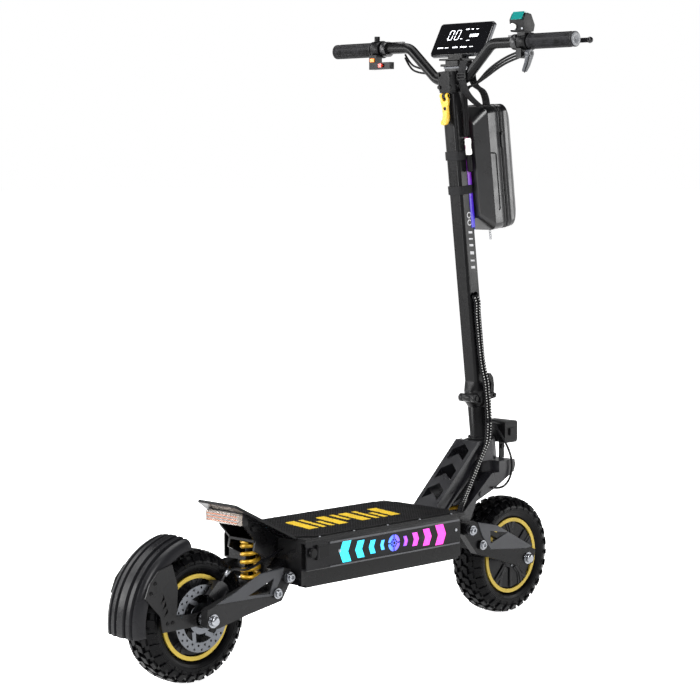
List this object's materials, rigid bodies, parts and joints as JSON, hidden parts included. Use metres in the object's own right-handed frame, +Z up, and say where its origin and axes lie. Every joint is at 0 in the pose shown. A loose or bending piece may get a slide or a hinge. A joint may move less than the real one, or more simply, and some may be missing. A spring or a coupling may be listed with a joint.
{
  "type": "electric kick scooter",
  "caption": "Stand-on two-wheel scooter with hub motors, sprung swing arms, disc brakes, folding stem, wide bar with display, hung hard-shell bag and lit deck sides.",
  "frame": {"origin": "on the ground plane, midway between the fender's back and the front tyre's nose, and between the bar's ends", "axes": "+X forward, +Y to the rider's left, +Z up"},
  "size_m": [1.219, 0.689, 1.3055],
  "materials": {
    "frame_black": "satin black powder coat",
    "frame_grey": "satin dark grey powder coat",
    "panel_grey": "satin grey powder coat",
    "mat_rubber": "studded rubber mat with yellow print",
    "light_strip": "lit diffuser, cyan to magenta",
    "cell_wrap": "shrink wrap",
    "heatsink": "ribbed housing",
    "bearing_steel": "ground steel",
    "tail_lens": "clear lens with orange reflector",
    "bolt_steel": "bright zinc plated",
    "black_plastic": "moulded",
    "cable_sleeve": "spiral wrapped cable",
    "black_rubber": "moulded rubber",
    "axle_steel": "machined steel",
    "caliper_black": "black anodised",
    "fender_plastic": "moulded",
    "spring_gold": "gold paint",
    "tyre_rubber": "knobbly tread",
    "hub_black": "satin black cast cover",
    "trim_gold": "gold anodised",
    "rotor_steel": "drilled stainless disc",
    "clear_lens": "clear lens",
    "grip_rubber": "ribbed rubber",
    "display_shell": "satin anodised",
    "screen_glass": "gloss black screen",
    "teal_lens": "tinted lens",
    "strap_webbing": "hook and loop strap",
    "bag_shell_fabric": "moulded EVA with coated cloth",
    "lever_grey": "moulded",
    "switch_red": "moulded red",
    "button_white": "moulded white",
    "hook_yellow": "yellow powder coat"
  },
  "bodies": {
    "chassis": {"chassis_tub": "frame_black", "deck_lid": "frame_black", "deck_mat": "mat_rubber", "side_panels": "panel_grey", "side_light_bars": "light_strip", "battery_pack": "cell_wrap", "motor_controllers": "heatsink", "neck_frame": "frame_grey", "head_bearings": "bearing_steel", "kick_plate": "frame_black", "tail_light_lens": "tail_lens", "chassis_bolts": "bolt_steel", "charge_socket": "black_plastic", "chassis_looms": "cable_sleeve"},
    "port_flap": {"port_cover": "black_rubber"},
    "kickstand_leg": {"kickstand": "frame_black"},
    "rear_arm": {"rear_swingarm": "frame_grey", "rear_axle": "axle_steel", "rear_caliper": "caliper_black", "rear_fender": "fender_plastic", "rear_spring": "spring_gold"},
    "rear_wheel": {"rear_tyre": "tyre_rubber", "rear_hub_motor": "hub_black", "rear_trim_rings": "trim_gold", "rear_rotor": "rotor_steel"},
    "steering": {"steerer_tube": "frame_black", "fork": "frame_grey", "headlight_housing": "black_plastic", "headlight_lens": "clear_lens", "fold_base": "frame_black", "column_loom": "cable_sleeve"},
    "latch": {"latch_lever": "frame_black"},
    "front_arm": {"front_swingarm": "frame_grey", "front_axle": "axle_steel", "front_caliper": "caliper_black", "front_spring": "spring_gold"},
    "front_wheel": {"front_tyre": "tyre_rubber", "front_hub_motor": "hub_black", "front_trim_rings": "trim_gold", "front_rotor": "rotor_steel"},
    "stem": {"stem_tube": "frame_black", "handlebar": "frame_black", "bar_clamp": "frame_black", "bar_grips": "grip_rubber", "display_housing": "display_shell", "display_screen": "screen_glass", "switch_housing": "black_plastic", "throttle_housing": "black_plastic", "pod_lens": "teal_lens", "brake_perches": "caliper_black", "bar_cables": "black_rubber", "bag_straps": "strap_webbing", "bag_shell": "bag_shell_fabric"},
    "left_brake_lever": {"brake_lever_left": "caliper_black"},
    "right_brake_lever": {"brake_lever_right": "caliper_black"},
    "throttle": {"throttle_paddle": "lever_grey"},
    "indicator_switch": {"signal_switch": "switch_red"},
    "horn": {"horn_button": "button_white"},
    "hook": {"stem_hook": "hook_yellow"},
    "bag_cover": {"bag_lid": "bag_shell_fabric"}
  },
  "joints": [
    {"name": "rear_suspension", "type": "hinge", "parent": "chassis", "child": "rear_arm", "pos_m": [-0.2535, 0, 0.189], "axis": [0, 1, 0], "range_deg": [0, 9], "stiffness_Nm_per_rad": 420, "springref_deg": -9.74, "deforming": ["rear_spring"]},
    {"name": "rear_wheel_spin", "type": "hinge", "parent": "rear_arm", "child": "rear_wheel", "pos_m": [-0.4465, 0, 0.13], "axis": [0, 1, 0], "continuous": true},
    {"name": "steering_turn", "type": "hinge", "parent": "chassis", "child": "steering", "pos_m": [0.4059, 0, 0.43], "axis": [-0.1271, 0, 0.9919], "range_deg": [-35, 35]},
    {"name": "front_suspension", "type": "hinge", "parent": "steering", "child": "front_arm", "pos_m": [0.2845, 0, 0.216], "axis": [0, -1, 0], "range_deg": [0, 9], "stiffness_Nm_per_rad": 420, "springref_deg": -9.74, "deforming": ["front_spring"]},
    {"name": "front_wheel_spin", "type": "hinge", "parent": "front_arm", "child": "front_wheel", "pos_m": [0.4795, 0, 0.13], "axis": [0, 1, 0], "continuous": true},
    {"name": "stem_fold", "type": "hinge", "parent": "steering", "child": "stem", "pos_m": [0.37143, 0, 0.48659], "axis": [0, -1, 0], "range_deg": [0, 94]},
    {"name": "latch_release", "type": "hinge", "parent": "steering", "child": "latch", "pos_m": [0.43865, 0, 0.48915], "axis": [0, 1, 0], "range_deg": [0, 70]},
    {"name": "left_brake_squeeze", "type": "hinge", "parent": "stem", "child": "left_brake_lever", "pos_m": [0.33656, 0.165, 1.2445], "axis": [0, 0, 1], "range_deg": [0, 8], "stiffness_Nm_per_rad": 2, "springref_deg": -2.86},
    {"name": "right_brake_squeeze", "type": "hinge", "parent": "stem", "child": "right_brake_lever", "pos_m": [0.33656, -0.165, 1.2445], "axis": [0, 0, -1], "range_deg": [0, 8], "stiffness_Nm_per_rad": 2, "springref_deg": -2.86},
    {"name": "throttle_push", "type": "hinge", "parent": "stem", "child": "throttle", "pos_m": [0.29856, -0.225, 1.2195], "axis": [0, -1, 0], "range_deg": [0, 35], "stiffness_Nm_per_rad": 0.2, "springref_deg": -5.73},
    {"name": "indicator_slide", "type": "slide", "parent": "stem", "child": "indicator_switch", "axis": [0, 1, 0], "range_m": [-0.003, 0.003]},
    {"name": "horn_press", "type": "slide", "parent": "stem", "child": "horn", "axis": [1, 0, 0], "range_m": [0, 0.002], "stiffness_N_per_m": 300, "springref_m": -0.001},
    {"name": "hook_swing", "type": "hinge", "parent": "stem", "child": "hook", "pos_m": [0.28911, 0, 1.13822], "axis": [0, 1, 0], "range_deg": [0, 60]},
    {"name": "bag_open", "type": "hinge", "parent": "stem", "child": "bag_cover", "pos_m": [0.44185, 0, 0.8549], "axis": [0, 1, 0], "range_deg": [0, 75]},
    {"name": "port_cover_swing", "type": "hinge", "parent": "chassis", "child": "port_flap", "pos_m": [-0.2126, -0.1246, 0.237], "axis": [0, 0, -1], "range_deg": [0, 100]},
    {"name": "kickstand_swing", "type": "hinge", "parent": "chassis", "child": "kickstand_leg", "pos_m": [-0.1425, 0.114, 0.18], "axis": [0, 1, 0], "range_deg": [0, 80]}
  ]
}
